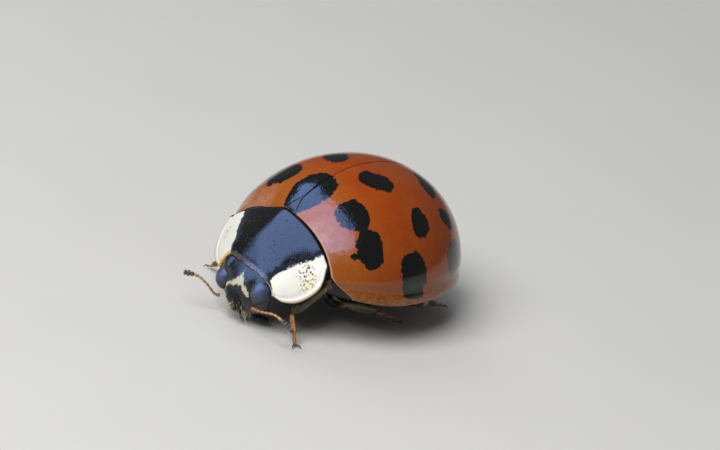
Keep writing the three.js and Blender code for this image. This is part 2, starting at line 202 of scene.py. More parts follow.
class Finish:
    """A material with one principled shader, and what its colour, gloss and relief are made of.
    Every value is a number, a colour or the output of a node."""

    def __init__(self, name, **sockets):
        self.material = bpy.data.materials.new(name)
        self.material.use_nodes = True
        self.tree = self.material.node_tree
        self.shader = self.tree.nodes["Principled BSDF"]
        for socket, value in sockets.items():
            self.shader.inputs[socket.replace("_", " ")].default_value = value

    def node(self, kind, inputs, **settings):
        made = self.tree.nodes.new("ShaderNode" + kind)
        for name, value in settings.items():
            setattr(made, name, value)
        for name, value in inputs.items():
            if isinstance(value, bpy.types.NodeSocket):
                self.tree.links.new(value, made.inputs[name])
            else:
                made.inputs[name].default_value = value
        return made

    def own(self, name):
        """The piece's own attribute of that name, as three numbers."""
        attribute = self.node("Attribute", {}, attribute_name=name)
        return self.node("SeparateXYZ", {0: attribute.outputs["Vector"]}).outputs

    def texture(self, kind, per_mm, **inputs):
        """A texture through the solid, with so many features to the millimetre."""
        where = self.node("TexCoord", {}).outputs["Object"]
        return self.node("Tex" + kind, {"Vector": where, "Scale": per_mm / MM, **inputs}).outputs

    def grain(self, per_mm, detail=3.0, roughness=0.5):
        return self.texture("Noise", per_mm, Detail=detail, Roughness=roughness)["Fac"]

    def pits(self, per_mm, size):
        """1 in the middle of small round pits, 0 between them."""
        distance = self.texture("Voronoi", per_mm, Randomness=0.85)["Distance"]
        return self.ramp(distance, 0, size, 1, 0)

    def ramp(self, value, low, high, first=0.0, last=1.0):
        """Value carried from low..high to first..last, and held at the ends."""
        names = ("Value", "From Min", "From Max", "To Min", "To Max")
        values = (value, low, high, first, last)
        return self.node("MapRange", dict(zip(names, values))).outputs["Result"]

    def mixed(self, share, first, second):
        """Two colours mixed."""
        colours = [c if isinstance(c, bpy.types.NodeSocket) else (*c, 1) for c in (first, second)]
        inputs = {0: share, 6: colours[0], 7: colours[1]}
        return self.node("Mix", inputs, data_type="RGBA").outputs[2]

    def maths(self, operation, first, second=0.0):
        return self.node("Math", {0: first, 1: second}, operation=operation).outputs[0]

    def add(self, first, second):
        return self.maths("ADD", first, second)

    def ragged(self, distance, reach, *grain, low=0.3):
        """A distance made uneven by up to reach each way, for the torn edge of a patch."""
        return self.add(distance, self.ramp(self.grain(*grain), low, 1 - low, -reach, reach))

    def product(self, *shares):
        made = shares[0]
        for share in shares[1:]:
            made = self.maths("MULTIPLY", made, share)
        return made

    def colour(self, output):
        self.tree.links.new(output, self.shader.inputs["Base Color"])

    def gloss(self, per_mm, low, high, duller=None):
        """Roughness that wanders between two values, with more of it where the piece is duller."""
        gloss = self.ramp(self.grain(per_mm), 0.3, 0.7, low, high)
        if duller is not None:
            gloss = self.add(gloss, duller)
        self.tree.links.new(gloss, self.shader.inputs["Roughness"])

    def relief(self, height, depth, strength=1.0):
        """Depth is in millimetres, for a height of 1."""
        inputs = {"Height": height, "Distance": depth * MM, "Strength": strength}
        bump = self.node("Bump", inputs)
        self.tree.links.new(bump.outputs["Normal"], self.shader.inputs["Normal"])


def wing_case_finish():
    f = Finish("wing case", IOR=1.5)
    girth, along, spots = f.own("shell")
    base_distance, is_left, _ = f.own("base_distance")
    wavy = f.ragged(spots, 0.07, 3.5, 2.0, low=0.2)
    black_share = f.ramp(f.ragged(wavy, 0.025, 14, low=0.2), -0.014, 0.014, 1, 0)
    front = f.ramp(along, -2.0, -0.9, 1, 0)
    hind = f.ramp(along, -0.6, 2.8)
    flank = f.ramp(girth, 1.6, RIM_GIRTH - 0.3)
    speckle = f.ramp(f.grain(17, 3.0, 0.7), 0.3, 0.7)
    hollow = f.pits(16, 0.42)
    shade = f.ramp(girth, RIM_GIRTH - 0.7, RIM_GIRTH - 0.05, 0, 0.65)
    rim = f.ramp(girth, RIM_GIRTH - 0.5, RIM_GIRTH - 0.02)
    rim_grain = f.ramp(f.grain(13, 3.0, 0.7), 0.42, 0.6)
    # painted reflection on both cases: a dull pinkish sheen behind the base; painted highlight on the left
    # one: a pale line along its base
    painted_reflection = f.product(
        f.ramp(base_distance, 0.1, 0.6, 0.5, 0),
        f.ramp(girth, 0.9, 1.3),
        f.ramp(girth, 2.4, 3.0, 1, 0),
        f.ramp(f.grain(6, 4.0, 0.7), 0.3, 0.6),
    )
    # painted highlight: the pale line along the base edge of the left case
    highlight_band = f.ramp(base_distance, 0.022, 0.036, 0.6, 0)
    lip = f.product(highlight_band, f.ramp(girth, 0.3, 1.6), is_left)
    # painted shade: the base edge, in the gap under the shield, is painted near black
    edge = f.ramp(base_distance, 0.004, 0.012, 0.95, 0)
    seam = f.ramp(girth, 0.004, 0.014, 0.6, 0)
    cloud = f.ramp(f.grain(1.1), 0.35, 0.65)
    colour = f.mixed(cloud, (0.31, 0.046, 0.003), (0.35, 0.068, 0.004))
    for share, tint in (
        (f.product(front, 0.8), (0.36, 0.115, 0.014)),
        (f.product(hind, 0.75), (0.17, 0.05, 0.007)),
        (f.product(flank, 0.45), (0.22, 0.05, 0.005)),
        (f.product(speckle, 0.4), (0.2, 0.028, 0.002)),
        (f.product(hollow, 0.4), (0.22, 0.024, 0.002)),
        (shade, (0.12, 0.035, 0.004)),
        (f.product(rim, rim_grain, 0.6), (0.38, 0.17, 0.03)),
        (painted_reflection, (0.42, 0.26, 0.22)),
        (lip, (0.55, 0.33, 0.24)),
        (edge, (0.012, 0.008, 0.006)),
        (seam, (0.07, 0.016, 0.004)),
        (black_share, (0.0055, 0.006, 0.005)),
    ):
        colour = f.mixed(share, colour, tint)
    f.colour(colour)
    f.gloss(6, 0.07, 0.12)
    fine = f.product(f.grain(30, 2.0), 0.5)
    wrinkle = f.product(f.grain(5, 3.0, 0.6), f.ramp(base_distance, 0.25, 0.9, 12, 1.5))
    relief = f.add(f.maths("SUBTRACT", fine, hollow), wrinkle)
    f.relief(relief, 0.0011)
    return f.material


def face_outwards(bm, faces=None, centre=None):
    """Turns a closed skin the right way out by the sign of its volume, or a sheet away from a
    centre."""
    faces = list(faces or bm.faces)
    bm.normal_update()
    centre = centre or faces[0].verts[0].co.copy()
    if sum(f.normal.dot(f.calc_center_median() - centre) * f.calc_area() for f in faces) < 0:
        bmesh.ops.reverse_faces(bm, faces=faces)


def add_object(name, data):
    made = bpy.data.objects.new(name, data)
    bpy.context.scene.collection.objects.link(made)
    return made


def add_mesh(bm, name, material):
    mesh = bpy.data.meshes.new(name)
    bm.to_mesh(mesh)
    bm.free()
    mesh.materials.append(material)
    return add_object(name, mesh)


def finish_piece(bm, name, material, nodes, wall=0.0, lining=None):
    """Turns a bmesh into a piece that stands for CAD nodes and rides on the one body.
    A sheet gets a wall, whose inner face may have a lining of its own."""
    if not wall:
        face_outwards(bm)
    piece = add_mesh(bm, name, material)
    piece.data.shade_smooth()
    if wall:
        solidify = piece.modifiers.new("wall", "SOLIDIFY")
        solidify.thickness = wall * MM
        solidify.offset = -1
        if lining:
            piece.data.materials.append(lining)
            solidify.material_offset = 1
    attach(piece, "root")
    if nodes:
        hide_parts(*nodes)


def point_numbers(bm, name):
    """Three numbers for each point, which the finish reads back by name."""
    layers = bm.verts.layers.float_vector
    return layers.get(name) or layers.new(name)


def unit_grid(bm, columns, rows):
    """A grid whose points run from 0 to 1 in x and y."""
    bmesh.ops.create_grid(bm, x_segments=columns, y_segments=rows, size=0.5)
    bmesh.ops.translate(bm, verts=bm.verts, vec=(0.5, 0.5, 0))


wing_material = wing_case_finish()
for side, name in SIDES:
    bm = bmesh.new()
    unit_grid(bm, 66, 76)
    shell = point_numbers(bm, "shell")
    base_distance = point_numbers(bm, "base_distance")
    for vert in bm.verts:
        point, girth, from_base = wing_case_point(vert.co.x, vert.co.y, side)
        vert[shell] = (girth, point.y, spot_distance(girth, point.y, side))
        vert[base_distance] = (from_base, max(0, side), 0)
        point.x *= side
        vert.co = place(point)
    bmesh.ops.remove_doubles(bm, verts=bm.verts, dist=0.0005 * MM)
    face_outwards(bm, centre=place((side * 0.8, 0, 0.6)))
    nodes = ["elytron_" + name]
    finish_piece(bm, "wing_case_" + name, wing_material, nodes, wall=SHELL_THICKNESS)

# ---- scutellum ----
# The small black triangle between the bases of the wing cases: a plate of the hind
# thorax that shows through where their inner corners are cut away.

SCUTELLUM_HALF_WIDTH = 0.2
SCUTELLUM_LENGTH = 0.38
SCUTELLUM_PROUD = 0.035
PLATE_BLACK = (0.0055, 0.006, 0.0065)


def black_finish(name, colour=PLATE_BLACK, pit_count=12, depth=0.004, shine=(0.14, 0.24), ior=1.5):
    """Black, finely pitted and glossy chitin."""
    f = Finish(name, IOR=ior)
    brown = tuple(c * 2.2 for c in colour)
    f.colour(f.mixed(f.grain(5), colour, brown))
    f.gloss(8, *shine)
    fine = f.product(f.grain(28, 2.0), 0.6)
    f.relief(f.maths("SUBTRACT", fine, f.pits(pit_count, 0.3)), depth)
    return f.material


plate_black = black_finish("plate black")
bm = bmesh.new()
unit_grid(bm, 16, 14)
for vert in bm.verts:
    side, along = 2 * vert.co.x - 1, vert.co.y
    y = BASE + 0.02 + along * SCUTELLUM_LENGTH
    x = side * SCUTELLUM_HALF_WIDTH * (1 - along) ** 0.9 + side * 0.006
    crown = SCUTELLUM_PROUD * (1 - 0.7 * abs(side) ** 3) * (1 - 0.6 * along**2)
    crown -= 0.06 * max(0, 1 - along / 0.12) ** 2
    vert.co = place(dome_point(x / half_width_at(y), y) + Vector((0, 0, crown)))
face_outwards(bm, centre=place((0, -2.3, 0)))
finish_piece(bm, "scutellum_plate", plate_black, ["scutellum"], wall=0.06)

# ---- pronotum ----
# The shield over the front thorax, behind the head: one stiff plate, black down the
# middle and white on both cheeks, with a raised glassy border along its sides.

# The edges of the two halves, from the middle line outwards and from the hind edge forwards. The
# shield is turned a little on the neck, so its right cheek lies further out and lower behind.
SHIELD_MIDDLE = [(0, -2.545, 1.72), (0, -2.98, 1.36), (0, -3.36, 0.84), (0, -3.6, 0.26)]
SHIELD_EDGES = {
    1: {
        "hind": [(0.5, -2.555, 1.66), (0.98, -2.565, 1.52), (1.42, -2.57, 1.27), (1.75, -2.57, 0.92)],
        "side": [(1.8, -2.72, 0.36), (1.53, -3.02, -0.08), (1.27, -3.34, -0.17)],
        "fore": [(0.42, -3.605, 0.255), (0.76, -3.585, 0.19), (0.95, -3.57, 0.08), (1.05, -3.57, -0.05)],
    },
    -1: {
        "hind": [(0.52, -2.565, 1.6), (1.04, -2.585, 1.34), (1.54, -2.6, 1.03), (1.87, -2.61, 0.755)],
        "side": [(2.0, -2.76, 0.185), (1.75, -3.06, -0.15), (1.36, -3.36, -0.185)],
        "fore": [(0.42, -3.585, 0.3), (0.73, -3.55, 0.3), (0.88, -3.6, 0.06), (0.966, -3.61, -0.13)],
    },
}
for edges in SHIELD_EDGES.values():
    edges["side"] = [edges["hind"][-1], *edges["side"], edges["fore"][-1]]
    edges["hind"] = [SHIELD_MIDDLE[0], *edges["hind"]]
    edges["fore"] = [SHIELD_MIDDLE[-1], *edges["fore"]]
UNDER_SHIELD = Vector((0, -2.8, 0.2))  # a point inside its curve
SHIELD_WALL = 0.09
SHIELD_HALF_GIRTH = 1.95  # from the middle line to the side border, over the curve
SHIELD_LENGTH = 1.75


def on_curve(points, share, half=False):
    """A point of the smooth curve through the given points, or of half a curve, which starts at
    the middle line."""
    points = [Vector(p) for p in points]
    before = points[1] * Vector((-1, 1, 1)) if half else 2 * points[0] - points[1]
    points = [before, *points, 2 * points[-1] - points[-2]]
    steps = share * (len(points) - 3)
    index = min(int(steps), len(points) - 4)
    t = steps - index
    p0, p1, p2, p3 = points[index : index + 4]
    first, last = (p2 - p0) / 2, (p3 - p1) / 2
    cubic = 2 * p1 - 2 * p2 + first + last
    square = 3 * p2 - 3 * p1 - 2 * first - last
    return p1 + first * t + square * t**2 + cubic * t**3


def shield_sheet(side, fore, turn):
    """The smooth patch between the four edges of one half; level across the middle line."""
    edges = SHIELD_EDGES[turn]
    hind, front = on_curve(edges["hind"], side, half=True), on_curve(edges["fore"], side, half=True)
    middle, cheek = on_curve(SHIELD_MIDDLE, fore), on_curve(edges["side"], fore)
    share = side**2
    hind_corners = Vector(edges["hind"][0]) * (1 - share) + Vector(edges["hind"][-1]) * share
    fore_corners = Vector(edges["fore"][0]) * (1 - share) + Vector(edges["fore"][-1]) * share
    corners = hind_corners * (1 - fore) + fore_corners * fore
    return hind * (1 - fore) + front * fore + middle * (1 - share) + cheek * share - corners


def shield_point(side, fore, turn):
    step = 0.004
    point = shield_sheet(side, fore, turn)
    outer, inner = (shield_sheet(s, fore, turn) for s in (min(1, side + step), max(0, side - step)))
    front, rear = (shield_sheet(side, f, turn) for f in (min(1, fore + step), max(0, fore - step)))
    out = (front - rear).cross(outer - inner).normalized()
    if out.dot(point - UNDER_SHIELD) < 0:
        out = -out
    from_side = (1 - side) * SHIELD_HALF_GIRTH
    from_fore = (1 - fore) * SHIELD_LENGTH
    from_hind = fore * SHIELD_LENGTH
    # a raised border and the groove beside it, at the side and in front; both ends roll down
    relief = 0.025 * ridge(from_side, 0.03, 0.035) - 0.025 * ridge(from_side, 0.11, 0.06)
    relief += 0.012 * ridge(from_fore, 0.03, 0.04) - 0.006 * ridge(from_fore, 0.14, 0.08)
    relief -= 0.05 * max(0, 1 - from_hind / 0.06) ** 2
    relief -= 0.05 * max(0, 1 - from_fore / 0.05) ** 2
    return point + out * relief


# Where the black ends and the white begins, as shares of the half width, from the hind
# edge to the front one. The animal's left and right differ a little.
BLACK_ENDS = {
    1: [(0.0, 0.83), (0.125, 0.75), (0.25, 0.69), (0.375, 0.637), (0.45, 0.61), (0.525, 0.588),
        (0.6, 0.58), (0.66, 0.562), (0.74, 0.55), (0.825, 0.537), (1.0, 0.53)],
    -1: [(0.0, 0.7), (0.05, 0.675), (0.21, 0.613), (0.375, 0.588), (0.5, 0.55), (0.6, 0.51),
         (0.7, 0.49), (0.79, 0.53), (0.88, 0.51), (1.0, 0.5)],
}
DARK_FRONT = 0.12  # on the left the white stops this far short of the front edge
# Where the specks of each cheek lie: the middle of their patch, as a share of the half width and
# of the length, how many times narrower it is than round each way, and how much smaller it is.
SPECKS = {1: (0.82, 0.36, 1, 1, 0), -1: (0.785, 0.35, 1.4, 0.7, 0.1)}


def between(pairs, value):
    """The second numbers of the pairs, read off at a value between their first ones."""
    for (low, first), (high, second) in zip(pairs, pairs[1:]):
        if value <= high:
            return first + (second - first) * (value - low) / (high - low)
    return pairs[-1][1]


def shield_finish():
    f = Finish("shield", IOR=1.5, Subsurface_Weight=0.15, Subsurface_Scale=1.0)
    white_distance, from_border, speck_distance = f.own("shield")
    from_hind, from_fore, across = f.own("shield_ends")
    from_middle = f.maths("ABSOLUTE", across)
    white_share = f.ramp(f.ragged(white_distance, 0.06, 11, 4.0, 0.65, low=0.2), -0.016, 0.016)
    cloud = f.ramp(f.grain(1.6), 0.35, 0.7)
    white = f.mixed(cloud, (0.84, 0.83, 0.79), (0.76, 0.75, 0.68))
    # painted shade: the white is darker and greyer towards the right cheek
    white = f.mixed(f.ramp(across, -0.5, 0.5, 1, 0), white, (0.68, 0.67, 0.6))
    # the specks are olive, and black on the upper part of the left cheek
    dots = f.texture("Voronoi", 16, Randomness=1.0)["Distance"]
    dot_share = f.ramp(f.ragged(dots, 0.12, 20, 2.0), 0.37, 0.46, 1, 0)
    dot_share = f.product(dot_share, f.ramp(speck_distance, 0.17, 0.27, 1, 0))
    upper = f.ramp(f.ragged(from_border, 0.08, 6, 2.0), 0.32, 0.36)
    upper = f.product(upper, f.ramp(across, -0.1, 0.1))
    speck = f.mixed(upper, (0.42, 0.32, 0.03), (0.012, 0.01, 0.004))
    white = f.mixed(dot_share, white, speck)
    black = f.mixed(f.grain(5), (0.003, 0.0035, 0.0035), (0.009, 0.008, 0.007))
    black = f.mixed(f.ramp(f.grain(38, 1.0), 0.5, 0.75), black, (0.022, 0.024, 0.03))
    glassy = f.ramp(from_border, 0.03, 0.055, 1, 0)
    fore_line = f.ramp(from_fore, 0.03, 0.05, 1, 0)
    cheek = f.ramp(from_middle, 0.42, 0.5)
    # between the cheeks the front edge is a duller ribbon, brown on the right; its lilac grey on the left is
    # a painted hazy highlight
    ribbon = f.ramp(f.ragged(from_fore, 0.03, 16), 0.13, 0.17, 1, 0)
    ribbon = f.product(ribbon, f.ramp(from_middle, 0.44, 0.5, 0.85, 0))
    brown_to_grey = f.ramp(across, -0.15, 0.03)
    ribbon_colour = f.mixed(brown_to_grey, (0.11, 0.065, 0.035), (0.17, 0.17, 0.22))
    # the front corner of the right cheek is golden
    corner = f.product(f.ramp(from_fore, 0.1, 0.22, 1, 0), f.ramp(across, -0.55, -0.48, 1, 0))
    # the black hind border is broader on the right
    border = f.add(from_hind, f.ramp(across, -0.45, -0.3, -0.05, 0))
    hind_border = f.ramp(border, 0.01, 0.02, 1, 0)
    colour = f.mixed(white_share, black, white)
    for share, tint in (
        (f.product(glassy, 0.8), (0.42, 0.34, 0.23)),
        (f.product(fore_line, cheek), (0.5, 0.42, 0.26)),
        (f.product(ribbon, f.ramp(f.grain(24, 2.0), 0.35, 0.6)), ribbon_colour),
        (f.product(corner, 0.95), (0.56, 0.32, 0.025)),
        (hind_border, (0.008, 0.007, 0.006)),
    ):
        colour = f.mixed(share, colour, tint)
    f.colour(colour)
    # the black is dull in a ragged band along the white, and on the brown of the ribbon
    torn = f.ragged(white_distance, 0.12, 4.5, 4.0, 0.6, low=0.25)
    dull = f.ramp(torn, -0.13, -0.11, 0, 0.85)
    dull_ribbon = f.product(ribbon, f.ramp(across, -0.12, 0.04, 0.9, 0.1))
    f.gloss(7, 0.07, 0.13, duller=f.maths("MAXIMUM", dull, dull_ribbon))
    hollow = f.product(f.pits(8, 0.16), 4)
    fine = f.product(f.grain(34, 2.0), 0.9)
    f.relief(f.maths("SUBTRACT", fine, hollow), 0.0022)
    f.shader.inputs["Subsurface Radius"].default_value = (0.12 * MM, 0.1 * MM, 0.06 * MM)
    return f.material


bm = bmesh.new()
unit_grid(bm, 108, 64)
shield = point_numbers(bm, "shield")
shield_ends = point_numbers(bm, "shield_ends")
for vert in bm.verts:
    across, fore = 2 * vert.co.x - 1, vert.co.y
    # closer rows near the two ends, and closer columns near the sides
    fore = fore - 0.1 * sin(2 * pi * fore) / pi * 2
    side = abs(across) ** 0.9
    turn = 1 if across >= 0 else -1
    point = shield_point(side, fore, turn)
    point.x *= turn
    half_girth = SHIELD_HALF_GIRTH * (1 - 0.35 * fore)
    white = (side - between(BLACK_ENDS[turn], fore)) * half_girth
    if turn > 0:
        white = min(white, (1 - fore) * SHIELD_LENGTH - DARK_FRONT + 0.1 * smooth(side, 0.6, 0.9))
    at_side, at_fore, narrow, short, smaller = SPECKS[turn]
    from_specks = ((side - at_side) * half_girth * narrow, (fore - at_fore) * SHIELD_LENGTH * short)
    vert[shield] = (white, (1 - side) * half_girth, smaller + hypot(*from_specks))
    vert[shield_ends] = (fore * SHIELD_LENGTH, (1 - fore) * SHIELD_LENGTH, turn * side)
    vert.co = place(point)
face_outwards(bm, centre=place((0, -2.7, 0)))
shield_lining = black_finish("shield lining", (0.02, 0.013, 0.008), 7, 0.006, (0.35, 0.5))
finish_piece(bm, "shield", shield_finish(), ["pronotum"], wall=SHIELD_WALL, lining=shield_lining)

# ---- head ----
# A short black capsule, tucked under the front edge of the shield. It carries a cream
# mark like a roof over the mouth, between the eyes.

HEAD_CENTRE = Vector((0, -3.47, -0.34))
HEAD_HALF = Vector((0.86, 0.38, 0.68))
HEAD_NAPE = 0.75  # the back of the head is shallower than the face
BROADER_BROW = 0.6  # the head is broader over the eyes, under the shield
NARROWER_MOUTH = 0.2
FACE_SLOPE = 0.16  # the face slopes back to the mouth
RIGHT_BROW = Vector((-0.05, 0, 0.08))  # the right brow stands higher, up under the turned shield
CREAM_OUTLINE = [
    (0.07, 0.23), (0.15, 0.1), (0.22, -0.02), (0.33, -0.13), (0.46, -0.28), (0.44, -0.37),
    (0.33, -0.28), (0.24, -0.22), (0.19, -0.14), (0.07, -0.14), (-0.08, -0.22), (-0.18, -0.26),
    (-0.24, -0.27), (-0.38, -0.42), (-0.38, -0.3), (-0.24, -0.2), (-0.1, -0.08), (0.0, 0.04),
]


def ball(bm, sides, rings):
    """A unit ball of points, closed at both poles; returns its new points."""
    made = bmesh.ops.create_uvsphere(bm, u_segments=sides, v_segments=rings, radius=1)
    return made["verts"]


def outline_distance(outline, x, z):
    """Distance from a point to a closed outline of straight lines, less than 0 inside."""
    nearest, inside = 1e9, False
    for (x1, z1), (x2, z2) in zip(outline, outline[1:] + outline[:1]):
        run, rise = x2 - x1, z2 - z1
        share = ((x - x1) * run + (z - z1) * rise) / (run**2 + rise**2)
        share = min(1, max(0, share))
        nearest = min(nearest, hypot(x - x1 - share * run, z - z1 - share * rise))
        if (z1 > z) != (z2 > z) and x < x1 + (z - z1) * run / rise:
            inside = not inside
    return -nearest if inside else nearest


def head_finish():
    f = Finish("head", IOR=1.5)
    cream_distance = f.own("cream_distance")[0]
    ragged = f.ramp(f.grain(13, 4.0, 0.7), 0.25, 0.75, -0.05, 0.06)
    cream_share = f.ramp(f.add(cream_distance, ragged), -0.015, 0.015, 1, 0)
    black = f.mixed(f.grain(6), (0.005, 0.0055, 0.006), (0.014, 0.013, 0.013))
    cream = f.mixed(f.grain(8), (0.58, 0.57, 0.44), (0.38, 0.37, 0.26))
    f.colour(f.mixed(cream_share, black, cream))
    f.gloss(8, 0.18, 0.3)
    fine = f.product(f.grain(26, 2.0), 0.8)
    f.relief(f.maths("SUBTRACT", fine, f.pits(15, 0.32)), 0.006)
    return f.material


bm = bmesh.new()
cream_layer = point_numbers(bm, "cream_distance")
for vert in ball(bm, 96, 72):
    x, y, z = vert.co
    if y > 0:
        y *= HEAD_NAPE
    x *= 1 + (BROADER_BROW if z >= 0 else -NARROWER_MOUTH) * z * z
    point = HEAD_CENTRE + Vector((x, y, z)) * HEAD_HALF
    face = smooth(-vert.co.y, 0.1, 0.5)
    point.y -= 0.03 * face * ridge(point.x, 0, 0.4)
    point += RIGHT_BROW * smooth(-vert.co.x, 0.2, 0.7) * smooth(vert.co.z, 0.1, 0.5)
    point.y += FACE_SLOPE * max(0, -z) ** 1.5
    point.y += 0.035 * face * ridge(abs(point.x), 0.5, 0.09) * smooth(point.z, -0.6, -0.3)
    behind = 9 if vert.co.y > 0 else 0  # far from the mark, which lies on the face only
    vert[cream_layer] = (outline_distance(CREAM_OUTLINE, point.x, point.z) + behind, 0, 0)
    vert.co = place(point)
finish_piece(bm, "head_capsule", head_finish(), ["head"])

# ---- eyes ----
# Two black compound eyes on the corners of the head, each a smooth bulge of many
# hundred tiny six-sided lenses, set in a narrow groove of the capsule.

EYE_CENTRES = {"left": Vector((0.635, -3.545, -0.195)), "right": Vector((-0.635, -3.585, -0.315))}
EYE_HALF = {"left": Vector((0.3, 0.27, 0.345)), "right": Vector((0.29, 0.27, 0.31))}
LENSES_PER_MM = 38


def eye_finish():
    f = Finish("eye", IOR=1.6, Roughness=0.36)
    lens = f.texture("Voronoi", LENSES_PER_MM, Randomness=0.15)["Distance"]
    black = f.mixed(f.ramp(lens, 0.1, 0.6), (0.007, 0.008, 0.011), (0.003, 0.003, 0.004))
    blue = f.mixed(f.ramp(f.grain(7), 0.35, 0.65), (0.05, 0.062, 0.12), (0.03, 0.038, 0.075))
    # painted reflection of the cool light: a bluish sheen over the upper half
    painted_reflection = f.ramp(f.ragged(f.own("upward")[0], 0.15, 5), -0.25, 0.6)
    f.colour(f.mixed(painted_reflection, black, blue))
    f.relief(f.ramp(lens, 0.0, 0.7, 1, 0), 0.0016, 0.8)
    return f.material


eye_material = eye_finish()
for side, name in SIDES:
    bm = bmesh.new()
    upward_layer = point_numbers(bm, "upward")
    for vert in ball(bm, 56, 40):
        vert[upward_layer] = (0.8 * vert.co.z - 0.4 * vert.co.y, 0, 0)
        point = EYE_CENTRES[name] + vert.co * EYE_HALF[name]
        # a notch where the horny rim runs into the eye, over the root of the feeler
        notch = ridge(vert.co.z, -0.55, 0.22) * smooth(-vert.co.x * side, 0.2, 0.8)
        point.x += 0.06 * notch * side
        vert.co = place(point)
    finish_piece(bm, "lenses_" + name, eye_material, ["eye_" + name])

# ---- mouth ----
# The clypeus, a black plate that closes the face, the lip hinged under it, and the two
# feeling palps, whose last joint is shaped like an axe head.

CLYPEUS_CENTRE = Vector((-0.03, -3.71, -0.56))
CLYPEUS_HALF = Vector((0.38, 0.18, 0.31))
CLYPEUS_SLOPE = 0.25  # it leans back towards the mouth
LIP_CENTRE = Vector((-0.03, -3.55, -0.87))
LIP_HALF = Vector((0.28, 0.17, 0.15))
UP = Vector((0, 0, 1))


def spindle(bm, path, radius, sides=20, rings=14, squareness=4.0, flat=1.0, flat_way=UP, uv=None):
    """A closed rounded rod: a ball drawn out along path(0..1), radius(0..1) thick.
    flat thins it along flat_way. uv is a point at whose place its whole skin is unwrapped."""
    limb = point_numbers(bm, "limb")
    points = ball(bm, sides, rings)
    for vert in points:
        share = acos(max(-1, min(1, vert.co.z))) / pi
        ring = atan2(vert.co.y, vert.co.x)
        t = 0.5 - 0.5 * cos(pi * share)
        step = 0.02
        ahead = path(min(1, t + step)) - path(max(0, t - step))
        ahead.normalize()
        across = flat_way.cross(ahead)
        across = across.normalized() if across.length > 1e-4 else Vector((1, 0, 0))
        over = ahead.cross(across)
        end = 0 if share in (0.0, 1.0) else max(0, 1 - abs(2 * t - 1) ** squareness) ** 0.5
        reach = radius(t) * end
        vert[limb] = (t, cos(ring), sin(ring))
        vert.co = place(path(t) + (across * cos(ring) + over * sin(ring) * flat) * reach)
    faces = {face for vert in points for face in vert.link_faces}
    face_outwards(bm, faces)
    if uv:
        layer = bm.loops.layers.uv.get("OFBake") or bm.loops.layers.uv.new("OFBake")
        patch = 0.003
        for face in faces:
            for index, loop in enumerate(face.loops):
                loop[layer].uv = (uv[0] + patch * (index % 2), uv[1] + patch * (index // 2))
    return points


def straight(first, last):
    first, last = Vector(first), Vector(last)
    return lambda t: first.lerp(last, t)


def bent(first, middle, last):
    """A smooth bend that starts at first, is drawn towards middle and ends at last."""
    first, middle, last = Vector(first), Vector(middle), Vector(last)
    return lambda t: first * (1 - t) ** 2 + middle * 2 * t * (1 - t) + last * t**2


mouth_black = black_finish("mouth black", (0.005, 0.0045, 0.0035), 9, 0.02, (0.4, 0.6), 1.3)
bm = bmesh.new()
for vert in ball(bm, 48, 32):
    # squarer than an oval, seen from the front
    corner = (abs(vert.co.x) ** 3 + abs(vert.co.z) ** 3) ** (1 / 3)
    square = hypot(vert.co.x, vert.co.z) / max(corner, 1e-6)
    point = CLYPEUS_CENTRE + vert.co * CLYPEUS_HALF * Vector((square, 1, square))
    front = smooth(-vert.co.y, 0.1, 0.7)
    point.y += 0.03 * front * ridge(point.z, -0.8, 0.05)
    point.y -= CLYPEUS_SLOPE * (point.z - CLYPEUS_CENTRE.z)
    point.x *= 1 - 0.12 * smooth(point.z, -0.75, -0.5)
    vert.co = place(point)
finish_piece(bm, "face_plate", mouth_black, ["clypeus"])

bm = bmesh.new()
for vert in ball(bm, 40, 28):
    point = LIP_CENTRE + vert.co * LIP_HALF
    point.z += 0.05 * ridge(point.x, 0, 0.07) * smooth(-vert.co.z, 0.2, 0.9)
    vert.co = place(point)
finish_piece(bm, "lip", mouth_black, ["labrum"])

PALP_POINTS = [(0.36, -3.45, -0.88), (0.44, -3.33, -0.98), (0.5, -3.2, -0.95), (0.56, -3.05, -1.04)]
# Each joint's radius at its root, how much it gains, and the rest that a spindle takes.
PALP_JOINTS = [(0.05, 0.02, 14, 10), (0.055, 0.02, 14, 10), (0.06, 0.08, 18, 12, 8.0, 0.5)]
for side, name in SIDES:
    bm = bmesh.new()
    points = [Vector(p) * Vector((side, 1, 1)) for p in PALP_POINTS]
    for first, last, (root, gain, *form) in zip(points, points[1:], PALP_JOINTS):
        spindle(bm, straight(first, last), lambda t: root + gain * t, *form)
    finish_piece(bm, "mouth_palp_" + name, mouth_black, ["palp_" + name])

# ---- feelers ----
# Eleven joints each: a stout reddish first joint in a socket by the eye, a thin amber
# string of beads, and a club of three wide dark joints at the end.

FEELERS = {
    "left": [(0.62, -3.76, -0.575), (0.99, -3.79, -0.49), (1.47, -3.735, -0.385), (1.94, -3.645, -0.52)],
    "right": [
        (-0.56, -3.76, -0.75), (-0.68, -3.86, -0.73), (-0.8, -4.08, -0.48), (-1.0, -4.25, -0.33),
        (-1.25, -4.51, -0.3),
    ],
}
# Where each joint ends along the feeler, and how thick it is.
FEELER_JOINTS = [
    (0.11, 0.055), (0.19, 0.048), (0.31, 0.036), (0.42, 0.034), (0.52, 0.034), (0.62, 0.036),
    (0.72, 0.036), (0.82, 0.042), (0.885, 0.062), (0.945, 0.08), (1.0, 0.07),
]
CLUB_START = 8


def feeler_finish(name, root_colour, tip_colour):
    f = Finish(name, IOR=1.5, Roughness=0.32)
    along = f.own("along")[0]
    base = f.mixed(f.ramp(along, 0.1, 0.75), root_colour, tip_colour)
    dark = f.mixed(f.product(f.grain(14), 0.5), base, (0.08, 0.03, 0.012))
    f.colour(dark)
    f.relief(f.grain(30, 2.0), 0.006)
    return f.material


